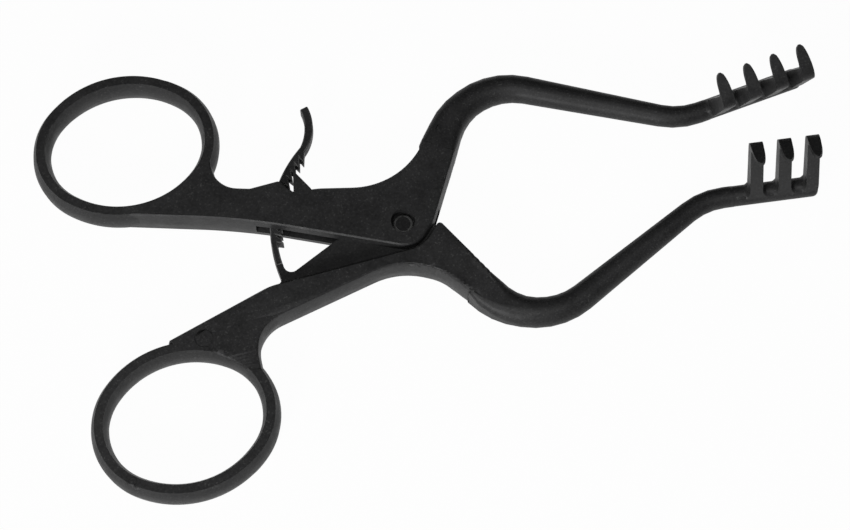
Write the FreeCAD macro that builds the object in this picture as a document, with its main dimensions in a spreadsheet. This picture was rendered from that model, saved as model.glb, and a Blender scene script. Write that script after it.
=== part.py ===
import FreeCAD, Part
import os
from math import atan2, cos, degrees, hypot, pi, radians, sin, sqrt, tan

# Self-retaining retractor: two moulded arms on a pivot pin, held apart by a toothed spring bar.
# It lies on its back in the XY plane. The pivot is the Z axis, the finger rings are at -X,
# the jaws at +X and the prongs point up.

doc = FreeCAD.newDocument("SelfRetainingRetractor")
sheet = doc.addObject("Spreadsheet::Sheet", "Sizes")

SIZES = [
    # Plate stock that both arms are moulded in
    ("plate_thick", 6.8), ("wall_draft", 0.35), ("edge_break", 0.25),
    # Fork in the upper arm, tongue of the lower arm
    ("fork_gap", 3.0), ("tongue_thick", 2.8), ("tongue_radius", 5.6), ("tongue_slope", 21.8),
    ("tongue_edge", 5.1), ("roof_swing", 26.5), ("roof_gap", 0.4),
    # Pivot
    ("pin_radius", 2.1), ("pin_running_gap", 0.05), ("pin_recess", 0.9), ("pin_chamfer", 0.55),
    ("knuckle_radius", 4.9), ("knuckle_gap", 0.14), ("fork_depth", 7.0),
    # Finger rings: the band, and its centre line
    ("ring_band", 3.18), ("ring_face", 1.54), ("ring_major", 15.2),
    ("upper_ring_minor", 12.45), ("upper_ring_tilt", -5.2),
    ("upper_ring_x", -43.47), ("upper_ring_y", 28.4),
    ("lower_ring_minor", 12.8), ("lower_ring_tilt", 1.0),
    ("lower_ring_x", -46.77), ("lower_ring_y", -23.78),
    # Headings of the plate edges
    ("upper_belly", -27.0), ("lower_front", 41.0), ("lower_ridge", -1.2),
    # Toothed bar, on arcs round the pivot
    ("bar_outer", 23.75), ("bar_thick", 1.2), ("tooth_depth", 1.15), ("first_tooth", 129.75),
    ("tooth_pitch", 3.57), ("tooth_undercut", 0.9), ("tooth_count", 13), ("bar_foot", 182.2),
    ("tab_start", 124.5), ("tab_width", 1.5), ("tab_bend", 8.5), ("tab_heading", 45.0),
    ("tab_sweep", 56.0), ("root_round", 1.4),
    # Way of the bar through the upper arm, and the pawl in it
    ("way_inside", 0.5), ("way_outside", 2.45), ("pawl_gap", 0.6), ("pawl_angle", 137.05),
    # Jaw arms
    ("upper_arm_root", 6.5), ("lower_arm_root", 5.6), ("arm_bend", 6.0), ("arm_reach", 4.95),
    ("upper_wrist", 3.95), ("lower_wrist", 3.82), ("arm_tip", 3.75),
    ("elbow_radius", 12.35), ("wrist_radius", 12.6),
    # Rakes
    ("prong_width", 2.3), ("prong_pitch", 5.05), ("prong_lean", 5.6), ("prong_bend_height", 12.9),
    ("prong_tip_height", 15.5), ("prong_tip_reach", 0.2), ("prong_bend_round", 2.2),
    ("prong_neck", 2.4), ("prong_tip_thick", 0.7), ("prong_point", 0.15),
    ("upper_first_prong", 1.52), ("upper_prongs", 4), ("lower_first_prong", 4.05),
    ("lower_prongs", 3), ("rake_start", 1.6), ("rake_end_round", 0.9),
]
for row, (alias, number) in enumerate(SIZES, start=1):
    sheet.set(f"A{row}", alias)
    sheet.set(f"B{row}", str(number))
    sheet.setAlias(f"B{row}", alias)
doc.recompute()


def size(alias):
    return float(sheet.get(alias))


def bind(thing, prop, formula):
    thing.setExpression(prop, formula)


def vec(x, y, z=0.0):
    return FreeCAD.Vector(x, y, z)


def turned(point, angle):
    # A point of the XY plane turned about the origin, in degrees
    c, s = cos(radians(angle)), sin(radians(angle))
    return (point[0] * c - point[1] * s, point[0] * s + point[1] * c)


def meet(point_a, angle_a, point_b, angle_b):
    # Where two lines cross, each given by a point and a heading in degrees
    ax, ay, bx, by = (cos(radians(angle_a)), sin(radians(angle_a)),
                      cos(radians(angle_b)), sin(radians(angle_b)))
    cross = ax * by - ay * bx
    along = ((point_b[0] - point_a[0]) * by - (point_b[1] - point_a[1]) * bx) / cross
    return (point_a[0] + ax * along, point_a[1] + ay * along)


def rounded_outline(corners, grow=0.0, height=0.0):
    # A closed wire through corners (x, y, radius), counter-clockwise, grown outwards by grow
    count = len(corners)
    sides = []
    for index in range(count):
        (x0, y0, _), (x1, y1, _) = corners[index], corners[(index + 1) % count]
        heading = degrees(atan2(y1 - y0, x1 - x0))
        out = radians(heading - 90)
        sides.append(((x0 + grow * cos(out), y0 + grow * sin(out)), heading))
    runs = []
    for index in range(count):
        before, after = sides[index - 1], sides[index]
        corner = meet(before[0], before[1], after[0], after[1])
        turn = (after[1] - before[1] + 180) % 360 - 180
        radius = corners[index][2]
        if radius:
            radius = radius + grow if turn > 0 else radius - grow
        reach = radius * abs(tan(radians(turn / 2)))
        start = (corner[0] - reach * cos(radians(before[1])), corner[1] - reach * sin(radians(before[1])))
        stop = (corner[0] + reach * cos(radians(after[1])), corner[1] + reach * sin(radians(after[1])))
        middle = None
        if radius:
            lift = radius / cos(radians(turn / 2)) - radius
            half = radians(before[1] + turn / 2 + (90 if turn > 0 else -90))
            middle = (corner[0] + lift * cos(half), corner[1] + lift * sin(half))
        runs.append((start, middle, stop))
    edges = []
    for index in range(count):
        start, middle, stop = runs[index]
        if middle:
            edges.append(Part.Arc(vec(*start, height), vec(*middle, height), vec(*stop, height)).toShape())
        following = runs[(index + 1) % count][0]
        edges.append(Part.LineSegment(vec(*stop, height), vec(*following, height)).toShape())
    return Part.Wire(edges)


def feature(name, shape):
    thing = doc.addObject("Part::Feature", name)
    thing.Shape = shape
    return thing


def box(name, corner, spans, angle=0.0, pivot=(0, 0)):
    thing = doc.addObject("Part::Box", name)
    thing.Length, thing.Width, thing.Height = spans
    turn = FreeCAD.Rotation(vec(0, 0, 1), angle)
    thing.Placement = FreeCAD.Placement(turn.multVec(vec(*corner)) + vec(*pivot), turn)
    return thing


def cylinder(name, radius, height, base):
    thing = doc.addObject("Part::Cylinder", name)
    thing.Radius, thing.Height = radius, height
    thing.Placement.Base = vec(*base)
    return thing


def fused(name, things):
    thing = doc.addObject("Part::MultiFuse", name)
    thing.Shapes = things
    return thing


def cut(name, base, tool):
    thing = doc.addObject("Part::Cut", name)
    thing.Base, thing.Tool = base, tool
    return thing


THICK = size("plate_thick")
MIDDLE = THICK / 2
SLOT_LOW = MIDDLE - size("fork_gap") / 2
SLOT_HIGH = MIDDLE + size("fork_gap") / 2
TONGUE_LOW = MIDDLE - size("tongue_thick") / 2
TONGUE_HIGH = MIDDLE + size("tongue_thick") / 2
FAR = 3 * size("ring_major")
BAR_OUTER = size("bar_outer")
BAR_ROOT = BAR_OUTER - size("bar_thick")
TOOTH_TIP = BAR_ROOT - size("tooth_depth")
OVAL_FULLNESS = 1.06  # end arcs a little fuller than the ellipse's own curve there


def moulded_plate(name, corners):
    # A plate with drafted walls that are widest at mid thickness, and a small break at each face
    draft, edge = size("wall_draft"), size("edge_break")
    levels = [(0.0, -draft - edge), (edge, -draft), (MIDDLE, 0.0),
              (THICK - edge, -draft), (THICK, -draft - edge)]
    sections = [feature(f"{name}_at_{number}", rounded_outline(corners, grow, height))
                for number, (height, grow) in enumerate(levels)]
    loft = doc.addObject("Part::Loft", name)
    loft.Sections, loft.Solid, loft.Ruled = sections, True, True
    return loft


def oval_arcs(major, minor):
    # The four tangent arcs of an oval: centre, radius, heading of the first radius and sweep
    end_radius = minor * minor / major * OVAL_FULLNESS
    offset = major - end_radius
    side_radius = (offset * offset + minor * minor - end_radius * end_radius) / (2 * (minor - end_radius))
    rise = side_radius - minor
    lean = degrees(atan2(rise, offset))
    return [((offset, 0), end_radius, -lean, 2 * lean), ((0, -rise), side_radius, lean, 180 - 2 * lean),
            ((-offset, 0), end_radius, 180 - lean, 2 * lean),
            ((0, rise), side_radius, 180 + lean, 180 - 2 * lean)]


def finger_ring(label, minor, tilt, x, y):
    # The band turns round each arc of its oval: flat faces, walls that bow out to mid thickness
    half, face = size("ring_band") / 2, size("ring_face") / 2
    bow = ((half - face) ** 2 + MIDDLE ** 2) / (2 * (half - face))
    steps = 4
    walls = []
    for step in range(steps + 1):
        height = THICK * step / steps
        walls.append((half - bow + (bow ** 2 - (height - MIDDLE) ** 2) ** 0.5, height))
    outline = walls + [(-across, height) for across, height in reversed(walls)]
    quarters = []
    for number, (centre, radius, start, sweep) in enumerate(oval_arcs(size("ring_major"), size(minor))):
        frame = FreeCAD.Rotation(vec(0, 0, 1), start)
        points = [frame.multVec(vec(radius + across, 0, height)) + vec(*centre) for across, height in outline]
        profile = feature(f"{label}_band_{number}", Part.Face(Part.makePolygon(points + points[:1])))
        quarter = doc.addObject("Part::Revolution", f"{label}_turn_{number}")
        quarter.Source, quarter.Axis, quarter.Base = profile, vec(0, 0, 1), vec(*centre)
        quarter.Angle = sweep
        quarters.append(quarter)
    ring = fused(label, quarters)
    ring.Refine = True
    ring.Placement = FreeCAD.Placement(vec(size(x), size(y), 0), FreeCAD.Rotation(vec(0, 0, 1), size(tilt)))
    ring.Label = label
    return ring


def ring_bed(name, minor, tilt, x, y):
    # What a plate leaves free for a ring: everything inside the centre line of its band
    edges = []
    for centre, radius, start, sweep in oval_arcs(size("ring_major"), size(minor)):
        at = [vec(centre[0] + radius * cos(radians(start + part)),
                  centre[1] + radius * sin(radians(start + part))) for part in (0, sweep / 2, sweep)]
        edges.append(Part.Arc(*at).toShape())
    solid = Part.Face(Part.Wire(edges)).extrude(vec(0, 0, 3 * THICK))
    thing = feature(name, solid)
    thing.Placement = FreeCAD.Placement(vec(size(x), size(y), -THICK),
                                        FreeCAD.Rotation(vec(0, 0, 1), size(tilt)))
    return thing


def heading_line(distance, heading):
    # A point and heading of the line that passes the pivot at a distance, with the pivot on its left
    out = radians(heading - 90)
    return (distance * cos(out), distance * sin(out)), heading


# Centre lines of the two jaw arms: plate end, elbow corner, wrist corner, headings of each run
def arm_route(start, headings, wrist):
    first, reach, rake = headings
    elbow = meet(start, first, wrist, reach)
    return {"start": start, "elbow": elbow, "wrist": wrist,
            "first": first, "reach": reach, "rake": rake}


UPPER = arm_route((10.13, 11.77), (54.5, -28.6, 3.9), (53.45, 5.22))
LOWER = arm_route((10.1, -15.22), (-59.0, 23.0, -9.15), (52.7, -10.79))


def arm_stations(route):
    # Points (x, y, heading, share of the way) along the rounded route
    elbow_r, wrist_r = size("elbow_radius"), size("wrist_radius")
    turn_a = (route["reach"] - route["first"] + 180) % 360 - 180
    turn_b = (route["rake"] - route["reach"] + 180) % 360 - 180
    reach_a = elbow_r * abs(tan(radians(turn_a / 2)))
    reach_b = wrist_r * abs(tan(radians(turn_b / 2)))

    def gone(point, heading, far):
        return (point[0] + far * cos(radians(heading)), point[1] + far * sin(radians(heading)))

    bend_a = gone(route["elbow"], route["first"], -reach_a)
    bend_b = gone(route["wrist"], route["reach"], -reach_b)
    out_a = gone(route["elbow"], route["reach"], reach_a)
    out_b = gone(route["wrist"], route["rake"], reach_b)
    last = gone(route["wrist"], route["rake"], reach_b + size("rake_start"))
    stations = []

    def straight(start, stop, heading, steps, skip_last):
        for step in range(steps + (0 if skip_last else 1)):
            part = step / steps
            stations.append((start[0] + (stop[0] - start[0]) * part,
                             start[1] + (stop[1] - start[1]) * part, heading))

    def bend(start, heading, turn, radius, steps):
        side = 90 if turn > 0 else -90
        centre = gone(start, heading + side, radius)
        for step in range(steps):
            now = heading + turn * step / steps
            at = gone(centre, now - side, radius)
            stations.append((at[0], at[1], now))

    straight(route["start"], bend_a, route["first"], 1, True)
    bend(bend_a, route["first"], turn_a, elbow_r, 8)
    straight(out_a, bend_b, route["reach"], 1, True)
    bend(bend_b, route["reach"], turn_b, wrist_r, 3)
    straight(out_b, last, route["rake"], 1, False)
    far, walked = 0.0, []
    for index, (x, y, heading) in enumerate(stations):
        if index:
            far += hypot(x - stations[index - 1][0], y - stations[index - 1][1])
        walked.append((x, y, heading, far))
    elbow_in = hypot(bend_a[0] - route["start"][0], bend_a[1] - route["start"][1])
    elbow_out = elbow_in + elbow_r * abs(radians(turn_a))
    reach_end = elbow_out + hypot(bend_b[0] - out_a[0], bend_b[1] - out_a[1])
    return walked, (elbow_in, elbow_out, reach_end)


def blend(far, stops):
    for (a, va), (b, vb) in zip(stops, stops[1:]):
        if far <= b:
            return va + (vb - va) * max(0.0, (far - a) / (b - a))
    return stops[-1][1]


def arm_section(x, y, heading, width, height, corner):
    # A rounded rectangle square to the centre line, at mid thickness
    side = vec(-sin(radians(heading)), cos(radians(heading)), 0)
    up = vec(0, 0, 1)
    centre = vec(x, y, MIDDLE)
    half_w, half_h = width / 2, height / 2
    edges = []
    for quarter in range(4):
        sx = 1 if quarter in (0, 3) else -1
        sz = 1 if quarter in (0, 1) else -1
        hub = centre + side * (sx * (half_w - corner)) + up * (sz * (half_h - corner))
        start = 90 * quarter
        at = [hub + side * (corner * cos(radians(start + a))) + up * (corner * sin(radians(start + a)))
              for a in (0, 45, 90)]
        edges.append((at[0], at[1], at[2]))
    wires = []
    for index, (a, m, b) in enumerate(edges):
        wires.append(Part.Arc(a, m, b).toShape())
        wires.append(Part.LineSegment(b, edges[(index + 1) % 4][0]).toShape())
    return Part.Wire(wires)


def jaw_arm(label, route, root, wrist):
    # The arm leaves the plate nearly square, turns round in the elbow and tapers to the rake
    walked, (elbow_in, elbow_out, reach_end) = arm_stations(route)
    stops = [(elbow_in, size("arm_bend")), (elbow_out, size("arm_reach")), (reach_end, size(wrist)),
             (walked[-1][3], size("arm_tip"))]
    widths = [(0.0, size(root))] + stops
    heights = [(0.0, THICK)] + stops
    least_flat, square_corner = 0.04, 0.3
    sections = []
    for number, (x, y, heading, far) in enumerate(walked):
        width, height = blend(far, widths), blend(far, heights)
        share = min(1.0, far / (elbow_in + size("elbow_radius") / 2))
        fullest = min(width, height) / 2 - least_flat
        corner = fullest * (square_corner + (1 - square_corner) * share)
        sections.append(feature(f"{label}_at_{number}",
                                arm_section(x, y, heading, width, height, corner)))
    arm = doc.addObject("Part::Loft", label)
    arm.Sections, arm.Solid, arm.Ruled = sections, True, True
    arm.Label = label
    return arm, walked[-1]


def rake(label, first, count, side, end):
    # A round bar with flat prongs that lean inwards and hook outwards to a leaf-shaped point
    radius = size("arm_tip") / 2
    width, pitch = size("prong_width"), size("prong_pitch")
    copies = int(size(count))
    body = doc.addObject("PartDesign::Body", label)
    planes = {plane.Role: plane for plane in body.Origin.OriginFeatures}
    bar = body.newObject("Sketcher::SketchObject", label + "_bar_section")
    bar.AttachmentSupport, bar.MapMode = (planes["YZ_Plane"], [""]), "FlatFace"
    bar.addGeometry(Part.Circle(vec(0, 0), vec(0, 0, 1), radius))
    pad = body.newObject("PartDesign::Pad", label + "_bar")
    pad.Profile = bar
    bind(pad, "Length", f"Sizes.{first} + Sizes.prong_pitch * (Sizes.{count} - 1) + Sizes.prong_width / 2")
    doc.recompute()
    end_edge = max(range(len(pad.Shape.Edges)), key=lambda at: pad.Shape.Edges[at].CenterOfMass.x)
    rounded = body.newObject("PartDesign::Fillet", label + "_bar_end")
    rounded.Base = (pad, [f"Edge{end_edge + 1}"])
    bind(rounded, "Radius", "Sizes.rake_end_round")
    # Prong profile, seen along the bar: across is outwards, up is away from the plate
    lean, bend_at, tip_at = size("prong_lean"), size("prong_bend_height"), size("prong_tip_height")
    reach, neck = size("prong_tip_reach"), size("prong_neck")
    foot = radius / 2
    slope = degrees(atan2(bend_at - foot, -lean + radius))
    leaf = degrees(atan2(tip_at - bend_at, reach + lean))
    inner_top = (-lean, bend_at)
    seat = radius - 0.1
    outer_foot = (seat, 0.0)
    outer_top_guess = (-lean + neck / sin(radians(180 - slope)), bend_at)
    outer_slope = degrees(atan2(outer_top_guess[1] - outer_foot[1], outer_top_guess[0] - outer_foot[0]))
    tip_top = (reach, tip_at)
    tip_low = (reach + size("prong_tip_thick") * sin(radians(leaf)),
               tip_at - size("prong_tip_thick") * cos(radians(leaf)))
    inner_fold = meet(outer_foot, outer_slope, tip_low, leaf - 6)
    corners = [(outer_foot[0], outer_foot[1], 0), (-seat, 0.0, 0), (-seat, foot, 0),
               (inner_top[0], inner_top[1], size("prong_bend_round")), (tip_top[0], tip_top[1], 0),
               (tip_low[0], tip_low[1], 0), (inner_fold[0], inner_fold[1], size("prong_bend_round") / 2)]
    ring = [(side * x, y, r) for x, y, r in corners]
    if side > 0:
        ring = ring[::-1]
    wire = rounded_outline(ring)
    prong = body.newObject("Sketcher::SketchObject", label + "_prong_profile")
    prong.AttachmentSupport, prong.MapMode = (planes["YZ_Plane"], [""]), "FlatFace"
    bind(prong, "AttachmentOffset.Base.z", f"Sizes.{first} - Sizes.prong_width / 2")
    for edge in wire.Edges:
        if isinstance(edge.Curve, Part.Circle):
            a, m, b = (edge.valueAt(edge.FirstParameter),
                       edge.valueAt((edge.FirstParameter + edge.LastParameter) / 2),
                       edge.valueAt(edge.LastParameter))
            prong.addGeometry(Part.Arc(a, m, b))
        else:
            prong.addGeometry(Part.LineSegment(edge.Vertexes[0].Point, edge.Vertexes[1].Point))
    blade = body.newObject("PartDesign::Pad", label + "_prong")
    blade.Profile = prong
    bind(blade, "Length", "Sizes.prong_width")
    # The leaf narrows to its point between two arcs
    taper = body.newObject("Sketcher::SketchObject", label + "_leaf_sides")
    taper.AttachmentSupport, taper.MapMode = (planes["XY_Plane"], [""]), "FlatFace"
    top_room = 3.0
    taper.AttachmentOffset = FreeCAD.Placement(vec(0, 0, tip_at + top_room), FreeCAD.Rotation())
    middle_x, point = size(first), size("prong_point")
    shoulder = side * (-lean / 2)
    tip = side * (tip_low[0] + 0.02)
    beyond = side * (tip_low[0] + 1.0)
    for hand in (-1, 1):
        edge_x, out_x = middle_x + hand * width / 2, middle_x + hand * (width / 2 + 0.5)
        tip_x = middle_x + hand * point
        swell = (middle_x + hand * (0.62 * width / 2 + 0.38 * point + 0.18), (shoulder + tip) / 2)
        taper.addGeometry(Part.LineSegment(vec(out_x, shoulder), vec(edge_x, shoulder)))
        taper.addGeometry(Part.Arc(vec(edge_x, shoulder), vec(*swell), vec(tip_x, tip)))
        taper.addGeometry(Part.LineSegment(vec(tip_x, tip), vec(tip_x, beyond)))
        taper.addGeometry(Part.LineSegment(vec(tip_x, beyond), vec(out_x, beyond)))
        taper.addGeometry(Part.LineSegment(vec(out_x, beyond), vec(out_x, shoulder)))
    trim = body.newObject("PartDesign::Pocket", label + "_leaf")
    trim.Profile = taper
    trim.Length = top_room + tip_at - inner_fold[1] + 0.2
    doc.recompute()
    row = body.newObject("PartDesign::LinearPattern", label + "_row")
    row.Originals = [blade, trim]
    row.Direction = (bar, ["N_Axis"])
    bind(row, "Length", f"Sizes.prong_pitch * (Sizes.{count} - 1)")
    row.Occurrences = copies
    body.Tip = row
    body.Placement = FreeCAD.Placement(vec(end[0], end[1], MIDDLE),
                                       FreeCAD.Rotation(vec(0, 0, 1), end[2]))
    body.Label = label
    doc.recompute()
    return body


# Finger rings
upper_ring = finger_ring("upper_finger_ring", "upper_ring_minor", "upper_ring_tilt",
                         "upper_ring_x", "upper_ring_y")
lower_ring = finger_ring("lower_finger_ring", "lower_ring_minor", "lower_ring_tilt",
                         "lower_ring_x", "lower_ring_y")

def at_angle(radius, angle):
    return (radius * cos(radians(angle)), radius * sin(radians(angle)))


def beside(point, heading, across, along):
    c, s = cos(radians(heading)), sin(radians(heading))
    return (point[0] + along * c - across * s, point[1] + along * s + across * c)


def slab(name, corners, low, high):
    # A straight-walled piece of the plane between two heights
    face = Part.Face(rounded_outline(corners, 0.0, low))
    return feature(name, face.extrude(vec(0, 0, high - low)))


def arm_mouth(route, root):
    # Both sides of the jaw arm where it leaves the plate, a little past the end of the plate
    half, past = size(root) / 2, 1.0
    return (beside(route["start"], route["first"], -half, past),
            beside(route["start"], route["first"], half, past))


def beyond_mouth(name, route):
    reach = 2 * THICK
    return box(name, (0, -reach, -THICK), (reach, 2 * reach, 3 * THICK), route["first"], route["start"])


# Upper shank: hump and pawl on its top edge, knuckle round the pivot
knuckle = size("knuckle_radius")
belly = heading_line(knuckle, size("upper_belly"))
knuckle_front = heading_line(knuckle, size("lower_front"))
upper_right, upper_left = arm_mouth(UPPER, "upper_arm_root")
pawl_tip = at_angle(BAR_ROOT - size("pawl_gap"), size("pawl_angle"))
notch, pawl_heel = (-16.95, 11.35), (-14.05, 10.9)
upper_corners = [
    (-47.0, 15.2, 0),
    (*meet((-38.5, 12.0), -17.9, *belly), 130.0),
    (*meet(*belly, *knuckle_front), knuckle),
    (*meet(*knuckle_front, upper_right, 57.5), 9.0),
    (*upper_right, 0), (*upper_left, 0),
    (*meet(upper_left, UPPER["first"], (-6.0, 8.85), -15.5), 13.5),
    (-12.5, 10.65, 12.0), (*notch, 0.3),
    (-18.9, 14.1, 0.9), (-24.3, 14.2, 1.6), (-30.1, 16.2, 4.6), (-29.2, 22.0, 0),
    (-36.0, 25.0, 0), (-44.0, 20.0, 0),
]
upper_plate = moulded_plate("upper_plate", upper_corners)
upper_bed = ring_bed("upper_ring_bed", "upper_ring_minor", "upper_ring_tilt",
                     "upper_ring_x", "upper_ring_y")

# Fork in the upper shank: the tongue swings in it and the toothed bar runs through it
roof_heading = size("tongue_slope") - size("roof_swing")
roof = (beside((0, 0), roof_heading, size("tongue_radius") + size("roof_gap"), 0), roof_heading)
way_in, way_out = TOOTH_TIP - size("way_inside"), BAR_OUTER + size("way_outside")
room = slab("tongue_room", [(*beside(*roof, 0, 0), 0), (*meet(*roof, (-way_in, 0.0), 90.0), 0),
                            (-way_in, -7.0, 0), (0.0, -7.0, 0)], SLOT_LOW, SLOT_HIGH)
fork = cylinder("fork_room", size("fork_depth"), size("fork_gap"), (0, 0, SLOT_LOW))
way_disc = cylinder("way_disc", way_out, size("fork_gap"), (0, 0, SLOT_LOW))
way_core = cylinder("way_core", way_in, size("fork_gap"), (0, 0, SLOT_LOW))
way_ring = cut("way_ring", way_disc, way_core)
way_reach = box("way_reach", (-FAR, -way_out, SLOT_LOW), (FAR - 6.0, 2 * way_out, size("fork_gap")))
way = doc.addObject("Part::Common", "way")
way.Base, way.Tool = way_ring, way_reach
pawl = slab("pawl", [(-17.5, 9.5, 0), (-13.5, 9.5, 0), (*pawl_heel, 0), (*pawl_tip, 0), (*notch, 0)],
            0.0, THICK)
upper_blank = fused("upper_blank", [upper_plate, pawl])
hollow = cut("fork_hollow", fused("fork_rooms", [room, fork, way]), pawl)
upper_bore = cylinder("upper_bore", size("pin_radius") + size("pin_running_gap"), 3 * THICK, (0, 0, -THICK))
upper_shank = cut("upper_shank", upper_blank,
                  fused("upper_openings", [upper_bed, upper_ring, beyond_mouth("upper_mouth", UPPER),
                                           hollow, upper_bore]))
upper_shank.Label = "upper_shank"

# Lower shank: full plate beyond the ridge, tongue and root of the toothed bar at mid thickness
ridge_gap = knuckle + size("knuckle_gap")
ridge = heading_line(-ridge_gap, size("lower_ridge") + 180)
ridge_front = heading_line(-ridge_gap, size("lower_front") + 180)
lower_right, lower_left = arm_mouth(LOWER, "lower_arm_root")
lower_corners = [
    (-31.4, -21.5, 0),
    (-30.6, -11.68, 6.5), (-3.0, -7.17, 13.0), (3.5, -10.95, 9.0),
    (*lower_right, 0), (*lower_left, 0),
    (*meet(lower_left, 116.5, *ridge_front), 1.0),
    (*meet(*ridge_front, *ridge), ridge_gap),
    (-26.0, -4.5, 10.0),
    (-46.0, -9.2, 0),
    (-44.0, -16.0, 0), (-36.0, -22.0, 0),
]
lower_plate = moulded_plate("lower_plate", lower_corners)
lower_bed = ring_bed("lower_ring_bed", "lower_ring_minor", "lower_ring_tilt",
                     "lower_ring_x", "lower_ring_y")
bar_in, bar_out, foot = BAR_ROOT, BAR_OUTER, size("bar_foot")
tongue_edge = (beside((0, 0), size("tongue_slope"), size("tongue_edge"), 0), size("tongue_slope"))
foot_in, foot_out = at_angle(bar_in, foot), at_angle(bar_out, foot)
tongue_corners = [
    (-26.2, -5.8, 0), (0.0, -5.8, 0), (*tongue_edge[0], 0),
    (*meet(*tongue_edge, foot_in, foot - 90), size("root_round")),
    (*foot_in, 0), (*foot_out, 0), (foot_out[0] + 0.2, -4.1, 0.9), (-26.2, -4.9, 0),
]
tongue = slab("tongue", tongue_corners, TONGUE_LOW, TONGUE_HIGH)
eye = cylinder("tongue_eye", size("tongue_radius"), size("tongue_thick"), (0, 0, TONGUE_LOW))
lower_body = cut("lower_body", lower_plate,
                 fused("lower_openings", [lower_bed, lower_ring, beyond_mouth("lower_mouth", LOWER)]))
lower_bore = cylinder("lower_bore", size("pin_radius"), 3 * THICK, (0, 0, -THICK))
lower_shank = cut("lower_shank", fused("lower_shank_blank", [lower_body, tongue, eye]), lower_bore)
lower_shank.Label = "lower_shank"

# Jaw arms and rakes
upper_arm, upper_end = jaw_arm("upper_jaw_arm", UPPER, "upper_arm_root", "upper_wrist")
lower_arm, lower_end = jaw_arm("lower_jaw_arm", LOWER, "lower_arm_root", "lower_wrist")
upper_rake = rake("upper_rake", "upper_first_prong", "upper_prongs", 1, upper_end)
lower_rake = rake("lower_rake", "lower_first_prong", "lower_prongs", -1, lower_end)


def flat_body(label, edges):
    # A straight-walled piece as thick as the tongue, padded from its profile
    body = doc.addObject("PartDesign::Body", label)
    planes = {plane.Role: plane for plane in body.Origin.OriginFeatures}
    sketch = body.newObject("Sketcher::SketchObject", label + "_profile")
    sketch.AttachmentSupport, sketch.MapMode = (planes["XY_Plane"], [""]), "FlatFace"
    sketch.addGeometry(edges)
    pad = body.newObject("PartDesign::Pad", label + "_pad")
    pad.Profile = sketch
    bind(pad, "Length", "Sizes.tongue_thick")
    body.Placement.Base = vec(0, 0, TONGUE_LOW)
    body.Label = label
    return body


# Toothed bar: the teeth point down the bar and each hooks over the pawl
pitch, teeth, tip = size("tooth_pitch"), int(size("tooth_count")), TOOTH_TIP
first, undercut, tab_start = size("first_tooth"), size("tooth_undercut"), size("tab_start")
profile = []
for tooth in range(teeth):
    tip_angle = first + pitch * tooth
    profile.append(at_angle(bar_in, tip_angle - pitch - undercut))
    profile.append(at_angle(tip, tip_angle))
last_root = first + pitch * (teeth - 1) - undercut
profile.append(at_angle(bar_in, last_root))
bar_edges = [Part.Arc(vec(*at_angle(bar_out, tab_start)), vec(*at_angle(bar_out, (tab_start + foot) / 2)),
                      vec(*foot_out)),
             Part.LineSegment(vec(*foot_out), vec(*foot_in)),
             Part.Arc(vec(*foot_in), vec(*at_angle(bar_in, (foot + last_root) / 2)), vec(*profile[-1]))]
points = profile[::-1] + [at_angle(bar_in, tab_start), at_angle(bar_out, tab_start)]
bar_edges += [Part.LineSegment(vec(*a), vec(*b)) for a, b in zip(points, points[1:])]
ratchet_bar = flat_body("ratchet_bar", bar_edges)

# Release tab: the bar's free end, thicker and bent outwards
tab_in, tab_out = at_angle(bar_in, tab_start), at_angle(bar_out, tab_start)
tab_foot = at_angle((bar_in + bar_out) / 2, tab_start)
bend, heading, sweep, half = (size("tab_bend"), size("tab_heading"), size("tab_sweep"),
                              size("tab_width") / 2)
hub = beside(tab_foot, heading, bend, 0)


def on_bend(radius, turned_by):
    return beside(hub, heading + turned_by, -radius, 0)


tab_edges = [Part.Arc(vec(*tab_in), vec(*on_bend(bend + half, sweep / 2)), vec(*on_bend(bend + half, sweep))),
             Part.LineSegment(vec(*on_bend(bend + half, sweep)), vec(*on_bend(bend - half, sweep))),
             Part.Arc(vec(*on_bend(bend - half, sweep)), vec(*on_bend(bend - half, sweep / 2)),
                      vec(*tab_out)),
             Part.LineSegment(vec(*tab_out), vec(*tab_in))]
release_tab = flat_body("release_tab", tab_edges)

# Pivot pin: pressed in the tongue, free in the fork, its front end chamfered and set back
pin_rod = cylinder("pin_rod", size("pin_radius"), THICK - size("pin_recess"), (0, 0, 0))
bind(pin_rod, "Radius", "Sizes.pin_radius")
bind(pin_rod, "Height", "Sizes.plate_thick - Sizes.pin_recess")
doc.recompute()
pin = doc.addObject("Part::Chamfer", "pivot_pin")
pin.Base = pin_rod
top_edge = [number for number, edge in enumerate(pin_rod.Shape.Edges, start=1)
            if len(edge.Vertexes) == 1 and edge.CenterOfMass.z > MIDDLE]
pin.Edges = [(number, size("pin_chamfer"), size("pin_chamfer")) for number in top_edge]
pin.Label = "pivot_pin"

NODES = [upper_ring, upper_shank, upper_arm, upper_rake, lower_ring, lower_shank, lower_arm, lower_rake,
         ratchet_bar, release_tab, pin]
doc.recompute()
problems = [f"{thing.Label}: {thing.State}" for thing in doc.Objects
            if {"Invalid", "Error"} & set(thing.State)]
for node in NODES:
    shape = node.Shape
    if shape.isNull() or not shape.isValid() or len(shape.Solids) != 1 or shape.Volume <= 0:
        problems.append(f"{node.Label}: shape")
    else:
        print(node.Label, round(shape.Volume, 1), "mm3")
if problems:
    raise SystemExit("not built: " + "; ".join(problems))
os.makedirs("parts", exist_ok=True)
for node in NODES:
    node.Shape.exportStep(f"parts/{node.Label}.step")
print("sub-parts written:", len(NODES))
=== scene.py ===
import math
import bmesh
import bpy
from mathutils import Matrix, Vector


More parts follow.
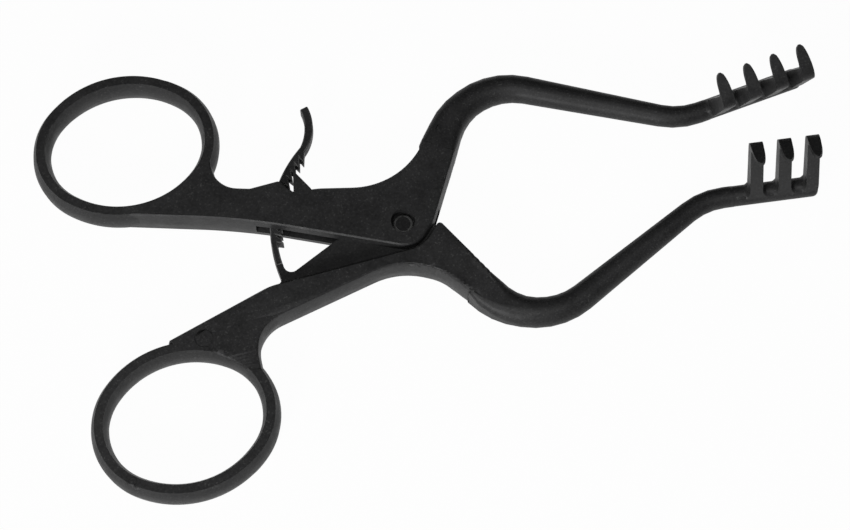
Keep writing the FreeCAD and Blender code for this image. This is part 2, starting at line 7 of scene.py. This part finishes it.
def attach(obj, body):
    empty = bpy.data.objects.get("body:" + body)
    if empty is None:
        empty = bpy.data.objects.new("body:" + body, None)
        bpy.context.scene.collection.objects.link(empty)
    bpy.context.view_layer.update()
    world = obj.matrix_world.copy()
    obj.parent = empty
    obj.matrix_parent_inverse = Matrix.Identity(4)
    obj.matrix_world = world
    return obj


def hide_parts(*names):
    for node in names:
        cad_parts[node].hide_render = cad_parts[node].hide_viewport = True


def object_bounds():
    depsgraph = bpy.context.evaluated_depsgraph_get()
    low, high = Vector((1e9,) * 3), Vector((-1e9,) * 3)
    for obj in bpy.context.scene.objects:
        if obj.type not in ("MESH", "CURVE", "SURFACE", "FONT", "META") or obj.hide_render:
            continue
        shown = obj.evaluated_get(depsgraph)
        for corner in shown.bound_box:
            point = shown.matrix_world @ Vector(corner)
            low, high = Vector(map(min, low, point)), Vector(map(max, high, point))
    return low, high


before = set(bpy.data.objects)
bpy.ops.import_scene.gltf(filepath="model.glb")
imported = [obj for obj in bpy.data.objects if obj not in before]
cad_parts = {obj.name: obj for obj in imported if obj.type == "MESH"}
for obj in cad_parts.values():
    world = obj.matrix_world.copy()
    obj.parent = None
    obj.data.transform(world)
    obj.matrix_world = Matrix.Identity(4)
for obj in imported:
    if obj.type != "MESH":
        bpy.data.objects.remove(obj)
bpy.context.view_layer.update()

mm = 0.001
midHeight = 3.4 * mm  # half the plate's thickness, where the arms' axes lie
plateTop = 6.8 * mm

view = {
    "imageWide": 850, "imageHigh": 530, "sensor": 36.0, "clip": (0.01, 10.0),
    "focalPixels": 3489.85, "depth": 618.77 * mm,
    "pivotPixel": (403.0, 220.5), "pivotHeight": 6.8 * mm,
    "deepPixel": (470.0, 1500.0),  # where lines straight down into the ground run together
    "xHeading": 16.0,  # how far the object's X runs above the horizontal in the picture
    "headingStep": 100,  # pixels from the pivot at which that heading is read
}


def pixelRay(pixel):
    # camera coordinates with x right, y up and the view along -z
    return Vector(((pixel[0] - view["imageWide"] / 2) / view["focalPixels"],
                   -(pixel[1] - view["imageHigh"] / 2) / view["focalPixels"], -1.0))


def placeCamera():
    zAxis = -pixelRay(view["deepPixel"]).normalized()
    pivot = pixelRay(view["pivotPixel"]) * view["depth"]
    heading, step = math.radians(view["xHeading"]), view["headingStep"]
    aside = pixelRay((view["pivotPixel"][0] + step * math.cos(heading),
                      view["pivotPixel"][1] - step * math.sin(heading)))
    xAxis = (aside * (pivot.dot(zAxis) / aside.dot(zAxis)) - pivot).normalized()
    yAxis = zAxis.cross(xAxis)
    toCamera = Matrix((xAxis, yAxis, zAxis)).transposed().to_4x4()
    toCamera.translation = pivot - zAxis * view["pivotHeight"]
    cameraData = bpy.data.cameras.new("camera")
    cameraData.sensor_width = view["sensor"]
    cameraData.lens = view["focalPixels"] / view["imageWide"] * view["sensor"]
    cameraData.clip_start, cameraData.clip_end = view["clip"]
    camera = bpy.data.objects.new("camera", cameraData)
    camera.matrix_world = toCamera.inverted()
    bpy.context.collection.objects.link(camera)
    bpy.context.scene.camera = camera


placeCamera()
print("camera placed")


class Sock:
    # a socket that shader maths can be written on
    def __init__(self, tree, socket):
        self.tree, self.socket = tree, socket

    def maths(self, operation, *others, clamp=False):
        return self.tree.node("ShaderNodeMath", {"operation": operation, "use_clamp": clamp},
                              [self.socket, *others])[0]

    def mathsAfter(self, operation, other):
        return self.tree.node("ShaderNodeMath", {"operation": operation}, [other, self.socket])[0]

    def __add__(self, other):
        return self.maths("ADD", other)

    def __sub__(self, other):
        return self.maths("SUBTRACT", other)

    def __rsub__(self, other):
        return self.mathsAfter("SUBTRACT", other)

    def __mul__(self, other):
        return self.maths("MULTIPLY", other)

    def __truediv__(self, other):
        return self.maths("DIVIDE", other)

    def __rtruediv__(self, other):
        return self.mathsAfter("DIVIDE", other)

    __radd__, __rmul__ = __add__, __mul__


class Tree:
    # a node tree whose nodes come from one method
    def __init__(self, tree):
        self.nodes, self.links = tree.nodes, tree.links
        self.nodes.clear()

    def node(self, kind, settings=None, sockets=()):
        made = self.nodes.new(kind)
        for key, value in (settings or {}).items():
            if key == "stops":
                for element, (place, shade) in zip(made.color_ramp.elements, value):
                    element.position = place
                    element.color = (shade, shade, shade, 1.0)
            else:
                setattr(made, key, value)
        pairs = sockets.items() if isinstance(sockets, dict) else enumerate(sockets)
        for key, value in pairs:
            socket = value.socket if isinstance(value, Sock) else value
            if isinstance(socket, bpy.types.NodeSocket):
                self.links.new(socket, made.inputs[key])
            else:
                made.inputs[key].default_value = socket
        return [Sock(self, output) for output in made.outputs]


def newMaterial(name):
    material = bpy.data.materials.new(name)
    material.use_nodes = True
    return material, Tree(material.node_tree)


plastic = {
    "deep": (0.0075, 0.0075, 0.0077), "pale": (0.030, 0.030, 0.0305), "fleck": (0.06, 0.06, 0.059),
    # the next colour is a painted highlight for the rounded edges, partly wear
    "wornHighlight": (0.17, 0.17, 0.168),
    # the noise's size, detail and roughness, then the ends of the ramp that sharpens it
    "patches": (75.0, 2.0, 0.5, 0.34, 0.66), "clouds": (330.0, 5.0, 0.68, 0.3, 0.7),
    "specks": (2300.0, 2.0, 0.6, 0.36, 0.68), "flecks": (3300.0, 0.0, 0.6, 0.68, 0.76),
    "rubbedSheen": (561.0, 4.0, 0.7, 0.38, 0.62), "grain": (5200.0, 2.0, 0.6),
    "patchShare": 0.24, "cloudShare": 0.26, "speckShare": 0.36, "fleckShare": 0.7,
    "rubbedSheenShare": 0.55, "rubbedSheenLeast": 0.12,
    "roughness": 0.42, "roughnessSpan": 0.16, "specular": 0.2,
    "grainStrength": 0.5, "grainDepth": 0.03 * mm, "cloudHeight": 0.6,
}


def mouldedPlastic(name, wornHighlight):
    # black plastic: cloudy and finely speckled; where asked, paler on the rounded edges, a painted highlight
    # standing for lit edge lines, partly wear
    material, tree = newMaterial(name)
    place = tree.node("ShaderNodeTexCoord")[3]  # object coordinates

    def noise(size, detail, roughness):
        return tree.node("ShaderNodeTexNoise", None, {"Vector": place, "Scale": size, "Detail": detail,
                                                      "Roughness": roughness})[0]

    def pattern(key):
        size, detail, roughness, low, high = plastic[key]
        return tree.node("ShaderNodeValToRGB", {"stops": ((low, 0.0), (high, 1.0))},
                         [noise(size, detail, roughness)])[0]

    def mix(factor, first, second):
        ends = [end if isinstance(end, Sock) else (*end, 1.0) for end in (first, second)]
        return tree.node("ShaderNodeMix", {"data_type": "RGBA"}, {0: factor, 6: ends[0], 7: ends[1]})[2]

    patches, clouds, specks, flecks = (pattern(key) for key in ("patches", "clouds", "specks", "flecks"))
    base = mix(patches * plastic["patchShare"] + clouds * plastic["cloudShare"]
               + specks * plastic["speckShare"], plastic["deep"], plastic["pale"])
    base = mix(flecks * clouds * plastic["fleckShare"], base, plastic["fleck"])
    # the rounded edges get a patchy pale colour: painted highlight where edges catch the light, partly wear
    if wornHighlight:
        base = mix(pattern("rubbedSheen") * plastic["rubbedSheenShare"] + plastic["rubbedSheenLeast"], base,
                   plastic["wornHighlight"])
    height = noise(*plastic["grain"]) + clouds * plastic["cloudHeight"]
    bump = tree.node("ShaderNodeBump", None, {"Height": height, "Strength": plastic["grainStrength"],
                                              "Distance": plastic["grainDepth"]})[0]
    roughness = clouds * plastic["roughnessSpan"] + plastic["roughness"]
    shader = tree.node("ShaderNodeBsdfPrincipled", None,
                       {"Base Color": base, "Roughness": roughness, "Normal": bump,
                        "Specular IOR Level": plastic["specular"]})[0]
    tree.node("ShaderNodeOutputMaterial", None, {"Surface": shader})
    return material


# each finish comes as plain black and as the painted edge highlight
finishes = {name: [mouldedPlastic(name + "Black", False), mouldedPlastic(name + "WornHighlight", True)]
            for name in ("moulding", "pin")}
print("finishes made")

moulding = {"edge": 0.22 * mm, "edgeSteps": 2, "edgeAngle": 32, "flatAngle": 0.6, "smoothAngle": 38,
            "merge": 0.001 * mm, "shadingWeight": 50}
seam = {"full": 4.4 * mm, "reach": 7.5 * mm, "sliceStep": 0.6 * mm,
        "rounds": 18, "pull": 0.5, "swell": -0.52, "blackShare": 0.5}
groove = {"sides": 40, "width": 0.16 * mm, "depth": 0.14 * mm, "above": 1 * mm}
plug = {"armInset": 0.8 * mm, "armFade": 12.0 * mm, "armEnd": 0.05 * mm,
        "ringGrow": 0.05 * mm, "ringFacing": 0.2, "outerWall": 14.6 * mm, "pinDrop": 0.8 * mm}


def linked(name, mesh):
    piece = bpy.data.objects.new(name, mesh)
    bpy.context.collection.objects.link(piece)
    return piece


def copyOfNode(nodeName):
    mesh = bpy.data.objects[nodeName].data.copy()
    mesh.materials.clear()
    work = bmesh.new()
    work.from_mesh(mesh)
    bmesh.ops.remove_doubles(work, verts=work.verts, dist=moulding["merge"])
    work.to_mesh(mesh)
    work.free()
    return linked(nodeName + "Copy", mesh)


def settle(piece):
    # the mesh as its modifiers leave it
    graph = bpy.context.evaluated_depsgraph_get()
    mesh = bpy.data.meshes.new_from_object(piece.evaluated_get(graph))
    piece.modifiers.clear()
    piece.data = mesh


def combine(piece, other, operation):
    step = piece.modifiers.new("step", "BOOLEAN")
    step.operation, step.solver, step.object = operation, "EXACT", other
    settle(piece)
    bpy.data.objects.remove(other)


def lowHigh(face, axis):
    heights = [vert.co[axis] for vert in face.verts]
    return min(heights), max(heights)


def sliceRegion(work, centre):
    # crossing cuts, so that a seam has points enough to be smoothed
    reach, step = seam["reach"], seam["sliceStep"]

    def close(face):
        spans = (lowHigh(face, 0), lowHigh(face, 1))
        return all(low <= centre[i] + reach and high >= centre[i] - reach
                   for i, (low, high) in enumerate(spans))

    near = {face for face in work.faces if close(face)}
    count = round(reach / step)
    for axis in range(2):
        normal = Vector((axis == 0, axis == 1, 0))
        for at in range(-count + 1, count):
            level = centre[axis] + at * step
            crossed = []
            for face in near:
                low, high = lowHigh(face, axis)
                if low < level < high:
                    crossed.append(face)
            if not crossed:
                continue
            near.difference_update(crossed)
            parts = set(crossed)
            for face in crossed:
                parts.update(face.edges)
                parts.update(face.verts)
            made = bmesh.ops.bisect_plane(work, geom=list(parts), plane_co=normal * level, plane_no=normal,
                                          dist=moulding["merge"])
            near.update(part for part in made["geom"]
                        if isinstance(part, bmesh.types.BMFace) and part.is_valid)
            near = {face for face in near if face.is_valid}


def blendSeam(piece, centre):
    # the plate and the jaw arm of one moulding flow into each other round this point
    full, reach = seam["full"], seam["reach"]
    work = bmesh.new()
    work.from_mesh(piece.data)
    sliceRegion(work, centre)
    weights = {}
    for vert in work.verts:
        away = math.hypot(vert.co.x - centre[0], vert.co.y - centre[1])
        if away < reach and vert.link_edges:
            share = min(1.0, (reach - away) / (reach - full))
            weights[vert] = share * share * (3 - 2 * share)
    for at in range(2 * seam["rounds"]):
        pull = seam["swell"] if at % 2 else seam["pull"]  # every second pass swells, so that nothing shrinks
        moved = {}
        for vert, weight in weights.items():
            others = [edge.other_vert(vert).co for edge in vert.link_edges]
            moved[vert] = vert.co.lerp(sum(others, Vector()) / len(others), pull * weight)
        for vert, place in moved.items():
            vert.co = place
    # faces near the seam go back to the plain black, without the painted edge highlight
    for face in work.faces:
        if any(weights.get(vert, 0) > seam["blackShare"] for vert in face.verts):
            face.material_index = 0
    work.to_mesh(piece.data)
    work.free()


def softEdged(piece, materials):
    # both materials, flat faces made whole, and the sharp edges rounded and given the pale edge colour:
    # painted highlight, partly wear
    for material in materials:
        piece.data.materials.append(material)
    tidy = piece.modifiers.new("tidy", "DECIMATE")
    tidy.decimate_type, tidy.angle_limit = "DISSOLVE", math.radians(moulding["flatAngle"])
    soft = piece.modifiers.new("soft", "BEVEL")
    soft.limit_method, soft.angle_limit = "ANGLE", math.radians(moulding["edgeAngle"])
    soft.width, soft.segments, soft.use_clamp_overlap = moulding["edge"], moulding["edgeSteps"], True
    # the bevel faces take the second material, the painted edge highlight
    soft.loop_slide, soft.material = False, 1
    settle(piece)


def ejectorGroove(centre, radius):
    # the tube that cuts the fine round groove an ejector leaves in the plate's top
    work = bmesh.new()
    sides, half = groove["sides"], groove["width"] / 2
    floor, above = plateTop - groove["depth"], plateTop + groove["above"]
    rings = []
    for away, height in ((radius - half, floor), (radius + half, floor),
                         (radius + half, above), (radius - half, above)):
        rings.append([work.verts.new((centre[0] + away * math.cos(2 * math.pi * i / sides),
                                      centre[1] + away * math.sin(2 * math.pi * i / sides), height))
                      for i in range(sides)])
    for first, second in zip(rings, rings[1:] + rings[:1]):
        for i in range(sides):
            j = (i + 1) % sides
            work.faces.new((first[i], first[j], second[j], second[i]))
    bmesh.ops.recalc_face_normals(work, faces=work.faces)
    mesh = bpy.data.meshes.new("groove")
    work.to_mesh(mesh)
    work.free()
    return linked("groove", mesh)


def shifted(piece, moves):
    # moves each point a little, by what the function says
    for vert in piece.data.vertices:
        vert.co += moves(vert.co)
    return piece


def intoPlate(root, heading, aside):
    # the arm's first end goes into the plate, and the arm near it lies level with the plate's side
    along = Vector((math.cos(math.radians(heading)), math.sin(math.radians(heading)), 0))
    across = Vector((-along.y, along.x, 0))

    def move(place):
        gone = place - Vector((root[0], root[1], 0))
        gone.z = 0
        near = max(0.0, 1 - gone.length / plug["armFade"])
        inset = plug["armInset"] if abs(gone.dot(along)) < plug["armEnd"] else 0.0
        return across * (aside * near) - along * inset
    return move


def ontoPlate(centre):
    # the ring's outer wall goes into the plate where it faces the pivot
    def move(place):
        away = Vector((place.x - centre[0], place.y - centre[1], 0))
        facing = away.normalized().dot(-Vector((centre[0], centre[1], 0)).normalized())
        outer = away.length > plug["outerWall"]
        return away.normalized() * plug["ringGrow"] if outer and facing > plug["ringFacing"] else Vector()
    return move


def lowerPinEnd(place):
    # the pin's end lies deep in its hole
    return Vector((0, 0, -plug["pinDrop"])) if place.z > midHeight else Vector()


rake = {
    "barRadius": 1.85 * mm, "endRound": 1.05 * mm, "inset": 0.6 * mm, "sides": 40, "roundSteps": 6,
    "width": 2.3 * mm, "pitch": 5.05 * mm, "rootRound": 1.2 * mm, "sink": 0.1 * mm,
    "seatGap": 0.1 * mm, "outerSeat": 0.03 * mm, "footHeight": 0.2 * mm, "endGap": 0.06 * mm,
    "lean": 5.6 * mm, "bendHeight": 12.9 * mm, "bendRound": 2.2 * mm, "neck": 2.4 * mm,
    "tipHeight": 15.5 * mm, "tipReach": 0.2 * mm, "tipThick": 0.7 * mm, "tipTaper": 6,
    "point": 0.15 * mm, "leafPower": 2.4,
    "runs": (26, 8, 9),  # points along the prong, round its bend and along its leaf
    "across": 8, "roomBack": 9 * mm, "roomHeights": (-4 * mm, 20 * mm),
}


def crossing(a, b, c, d):
    # where the line a-b meets the line c-d
    first, second = b - a, d - c
    share = (c - a).cross(second) / first.cross(second)
    return a + first * share


def cornerChain(start, corner, end, radius, counts):
    # a straight run, a round corner and a straight run, as evenly paired points
    back, on = (start - corner).normalized(), (end - corner).normalized()
    half = math.acos(back.dot(on)) / 2
    gone = radius / math.tan(half)
    first, last = corner + back * gone, corner + on * gone
    middle = corner + (back + on).normalized() * (radius / math.sin(half))
    chain = [start.lerp(first, i / counts[0]) for i in range(counts[0])]
    sweep = (first - middle).angle_signed(last - middle)
    arm = first - middle
    for i in range(counts[1] + 1):
        turn = -sweep * i / counts[1]
        chain.append(middle + Vector((arm.x * math.cos(turn) - arm.y * math.sin(turn),
                                      arm.x * math.sin(turn) + arm.y * math.cos(turn))))
    chain += [last.lerp(end, i / counts[2]) for i in range(1, counts[2] + 1)]
    return chain


def meshOf(name, rings):
    # skins a row of equal rings of points and closes both ends
    work = bmesh.new()
    rows = [[work.verts.new(place) for place in ring] for ring in rings]
    for first, second in zip(rows, rows[1:]):
        for i in range(len(first)):
            j = (i + 1) % len(first)
            work.faces.new((first[i], first[j], second[j], second[i]))
    work.faces.new(rows[0])
    work.faces.new(rows[-1])
    bmesh.ops.remove_doubles(work, verts=work.verts, dist=moulding["merge"])
    bmesh.ops.recalc_face_normals(work, faces=work.faces)
    mesh = bpy.data.meshes.new(name)
    work.to_mesh(mesh)
    work.free()
    return linked(name, mesh)


def prongPiece(side):
    # leans in, bends out and narrows to a leaf; its foot widens in a fillet onto the bar
    radius, seat, foot = rake["barRadius"], rake["barRadius"] - rake["seatGap"], rake["barRadius"] / 2
    lean, bendAt, reach, tipAt = rake["lean"], rake["bendHeight"], rake["tipReach"], rake["tipHeight"]
    leaf = math.atan2(tipAt - bendAt, reach + lean)
    slope = math.atan2(bendAt - foot, -lean + radius)
    innerFoot = Vector((-seat, rake["footHeight"]))
    innerTop, outerFoot = Vector((-lean, bendAt)), Vector((seat + rake["outerSeat"], rake["footHeight"]))
    tipTop = Vector((reach, tipAt))
    tipLow = tipTop + Vector((math.sin(leaf), -math.cos(leaf))) * rake["tipThick"]
    under = leaf - math.radians(rake["tipTaper"])
    outerGuess = Vector((-lean + rake["neck"] / math.sin(math.pi - slope), bendAt))
    innerFold = crossing(outerFoot, outerGuess, tipLow, tipLow + Vector((math.cos(under), math.sin(under))))
    counts, across = rake["runs"], rake["across"]
    inner = cornerChain(innerFoot, innerTop, tipTop, rake["bendRound"], counts)
    outer = cornerChain(outerFoot, innerFold, tipLow, rake["bendRound"] / 2, counts)
    rings = []
    for at, (near, far) in enumerate(zip(inner, outer)):
        share = max(0.0, at - counts[0] - counts[1] / 2) / (counts[1] / 2 + counts[2])
        narrowing = math.sqrt(max(0.0, 1 - share ** rake["leafPower"]))
        half = rake["point"] + (rake["width"] / 2 - rake["point"]) * narrowing
        ring = []
        for hand in (-1, 1):
            for i in range(across + 1):
                place = near.lerp(far, (i if hand < 0 else across - i) / across)
                top = math.sqrt(max(0.0, radius ** 2 - place.x ** 2)) - rake["sink"]
                rest = rake["rootRound"] - max(0.0, place.y - top)
                wider = rake["rootRound"] - math.sqrt(rake["rootRound"] ** 2 - rest ** 2) if rest > 0 else 0.0
                ring.append((hand * (half + wider), side * place.x, place.y))
        rings.append(ring)
    return meshOf("prong", rings)


def rowTree():
    # Geometry Nodes: one prong repeated along the bar
    group = bpy.data.node_groups.new("prongRow", "GeometryNodeTree")
    for name, kind in (("Prong", "NodeSocketObject"), ("Count", "NodeSocketInt"),
                       ("First", "NodeSocketVector"), ("Pitch", "NodeSocketVector"),
                       ("Plastic", "NodeSocketMaterial")):
        group.interface.new_socket(name, in_out="INPUT", socket_type=kind)
    group.interface.new_socket("Geometry", in_out="OUTPUT", socket_type="NodeSocketGeometry")
    tree = Tree(group)
    prong, count, first, pitch, finish = tree.node("NodeGroupInput")[:5]
    shape = tree.node("GeometryNodeObjectInfo", None, {"Object": prong})[-1]
    line = tree.node("GeometryNodeMeshLine", None,
                     {"Count": count, "Start Location": first, "Offset": pitch})[0]
    row = tree.node("GeometryNodeInstanceOnPoints", None, {"Points": line, "Instance": shape})[0]
    real = tree.node("GeometryNodeRealizeInstances", None, [row])[0]
    done = tree.node("GeometryNodeSetMaterial", None, {"Geometry": real, "Material": finish})[0]
    tree.node("NodeGroupOutput", None, [done])
    return group


prongRow = rowTree()


def prongsInRow(side, first, count):
    prong = prongPiece(side)
    row = linked("prongRow", bpy.data.meshes.new("prongRow"))
    nodes = row.modifiers.new("prongRow", "NODES")
    nodes.node_group = prongRow
    values = {"Prong": prong, "Count": count, "First": (first, 0, 0), "Pitch": (rake["pitch"], 0, 0),
              "Plastic": finishes["moulding"][0]}
    for item in prongRow.interface.items_tree:
        if item.in_out == "INPUT":
            nodes[item.identifier] = values[item.name]
    settle(row)
    row.data.materials.clear()
    bpy.data.objects.remove(prong)
    return row


def rakeBar(length):
    radius, corner, sides, steps = rake["barRadius"], rake["endRound"], rake["sides"], rake["roundSteps"]
    stops = [(-rake["inset"], radius)]
    for i in range(steps + 1):
        turn = math.pi / 2 * i / steps
        stops.append((length - corner + corner * math.sin(turn), radius - corner + corner * math.cos(turn)))
    return meshOf("rakeBar", [[(along, away * math.cos(2 * math.pi * i / sides),
                                away * math.sin(2 * math.pi * i / sides)) for i in range(sides)]
                              for along, away in stops])


def endRoom(side, length):
    # the space that the rake ends in: square across, round at the bar's outer corner
    radius, corner, steps, back = rake["barRadius"], rake["endRound"], rake["roundSteps"], -rake["roomBack"]
    outline = [(back, back), (length, back), (length, radius - corner)]
    for i in range(1, steps + 1):
        turn = math.pi / 2 * i / steps
        outline.append((length - corner + corner * math.cos(turn), radius - corner + corner * math.sin(turn)))
    outline.append((back, radius))
    return meshOf("endRoom", [[(along, side * out, height) for along, out in outline]
                              for height in rake["roomHeights"]])


def rakePiece(side, first, count, end, heading):
    # made along X, then laid on from the jaw arm's end
    length = first + rake["pitch"] * (count - 1) + rake["width"] / 2
    piece = prongsInRow(side, first, count)
    combine(piece, endRoom(side, length - rake["endGap"]), "INTERSECT")
    combine(piece, rakeBar(length), "UNION")
    place = Matrix.Translation((end[0], end[1], midHeight)) @ Matrix.Rotation(math.radians(heading), 4, "Z")
    piece.data.transform(place)
    return piece


def finished(piece, name, nodes, body, slot):
    piece.data.shade_smooth()
    piece.data.set_sharp_from_angle(angle=math.radians(moulding["smoothAngle"]))
    shading = piece.modifiers.new("shading", "WEIGHTED_NORMAL")
    shading.keep_sharp, shading.weight = True, moulding["shadingWeight"]
    settle(piece)
    piece.name = piece.data.name = name
    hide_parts(*nodes)
    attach(piece, body)
    print(name, "has", len(piece.data.polygons), "faces")


def joined(regions, slot):
    # the regions of one moulding made one, so that no wall is left inside, with soft edges
    piece = regions[0]
    for region in regions[1:]:
        combine(piece, region, "UNION")
    softEdged(piece, finishes[slot])
    return piece


def armMoulding(arm):
    shank, ring, jawArm = (copyOfNode(node) for node in arm["nodes"][:3])
    root = arm["root"]
    piece = joined([shank, shifted(ring, ontoPlate(arm["ringCentre"])),
                    shifted(jawArm, intoPlate(root, arm["rootHeading"], arm["rootAside"]))], arm["slot"])
    prongs = rakePiece(arm["rakeSide"], arm["firstProng"], arm["prongs"],
                       arm["rakeStart"], arm["rakeHeading"])
    softEdged(prongs, finishes[arm["slot"]])
    combine(piece, prongs, "UNION")
    blendSeam(piece, root)
    for mark in arm["marks"]:
        combine(piece, ejectorGroove(*mark), "DIFFERENCE")
    finished(piece, arm["name"], arm["nodes"], arm["body"], arm["slot"])


upperArm = {
    "name": "upperMoulding", "body": "upper_arm", "slot": "moulding",
    "nodes": ["upper_shank", "upper_finger_ring", "upper_jaw_arm", "upper_rake"],
    "ringCentre": (-43.47 * mm, 28.4 * mm),
    "root": (10.13 * mm, 11.77 * mm), "rootHeading": 54.5, "rootAside": 0.2 * mm,
    "rakeSide": 1, "firstProng": 1.52 * mm, "prongs": 4,
    "rakeStart": (58.7104 * mm, 5.5786 * mm), "rakeHeading": 3.9,
    "marks": [],
}
lowerArm = {
    "name": "lowerMoulding", "body": "lower_arm", "slot": "moulding",
    "nodes": ["lower_shank", "lower_finger_ring", "lower_jaw_arm", "lower_rake"],
    "ringCentre": (-46.77 * mm, -23.78 * mm),
    "root": (10.1 * mm, -15.22 * mm), "rootHeading": -59.0, "rootAside": -0.24 * mm,
    "rakeSide": -1, "firstProng": 4.05 * mm, "prongs": 3,
    "rakeStart": (57.8643 * mm, -11.6218 * mm), "rakeHeading": -9.15,
    "marks": [((-39.66 * mm, -10.82 * mm), 1.6 * mm), ((-58.39 * mm, -32.32 * mm), 0.7 * mm)],
}
armMoulding(upperArm)
armMoulding(lowerArm)

ratchet = {"name": "ratchet", "nodes": ["ratchet_bar", "release_tab"], "body": "ratchet", "slot": "moulding"}
finished(joined([copyOfNode(node) for node in ratchet["nodes"]], ratchet["slot"]), **ratchet)

pin = {"name": "pin", "nodes": ["pivot_pin"], "body": "lower_arm", "slot": "pin"}
finished(joined([shifted(copyOfNode(pin["nodes"][0]), lowerPinEnd)], pin["slot"]), **pin)

studio = {
    "floorColour": (0.5, 0.5, 0.5), "floorGlow": 0.975, "floorHalf": 1.5,
    "worldGrey": 0.05, "lampAim": (0.01, 0, 0),
    "lamps": {  # place, size and power
        "keyLamp": ((-0.34, -0.40, 0.24), 0.16, 3.0),
        "topLamp": ((-0.10, -0.20, 0.66), 0.30, 1.9),
    },
}


def makeFloor():
    # white where it is seen, plainly or in a shine, and grey for the light that it throws back
    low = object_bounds()[0][2]
    half = studio["floorHalf"]
    mesh = bpy.data.meshes.new("floor")
    mesh.from_pydata([(-half, -half, low), (half, -half, low), (half, half, low), (-half, half, low)], [],
                     [(0, 1, 2, 3)])
    floor = linked("floor", mesh)
    material, tree = newMaterial("floorPaper")
    path = tree.node("ShaderNodeLightPath")
    camera, glossy, transmission = path[0], path[3], path[6]
    seen = camera.maths("ADD", glossy, clamp=True).maths("ADD", transmission, clamp=True)
    diffuse = tree.node("ShaderNodeBsdfDiffuse", None, {"Color": (*studio["floorColour"], 1)})[0]
    glow = tree.node("ShaderNodeEmission", None, {"Color": (1, 1, 1, 1), "Strength": 1.0})[0]
    mixed = tree.node("ShaderNodeMixShader", None, {0: seen * studio["floorGlow"], 1: diffuse, 2: glow})[0]
    tree.node("ShaderNodeOutputMaterial", None, {"Surface": mixed})
    mesh.materials.append(material)


def addLamp(name, place, size, power):
    lampData = bpy.data.lights.new(name, "AREA")
    lampData.shape, lampData.size, lampData.energy = "DISK", size, power
    lamp = bpy.data.objects.new(name, lampData)
    lamp.location = place
    aim = Vector(studio["lampAim"]) - Vector(place)
    lamp.rotation_euler = aim.to_track_quat("-Z", "Y").to_euler()
    bpy.context.collection.objects.link(lamp)


makeFloor()
for name, settings in studio["lamps"].items():
    addLamp(name, *settings)
world = bpy.data.worlds.new("world")
world.use_nodes = True
bpy.context.scene.world = world
background = world.node_tree.nodes["Background"]
background.inputs["Color"].default_value = (1, 1, 1, 1)
background.inputs["Strength"].default_value = studio["worldGrey"]
bpy.context.scene.view_settings.view_transform = "Standard"
print("studio lit")
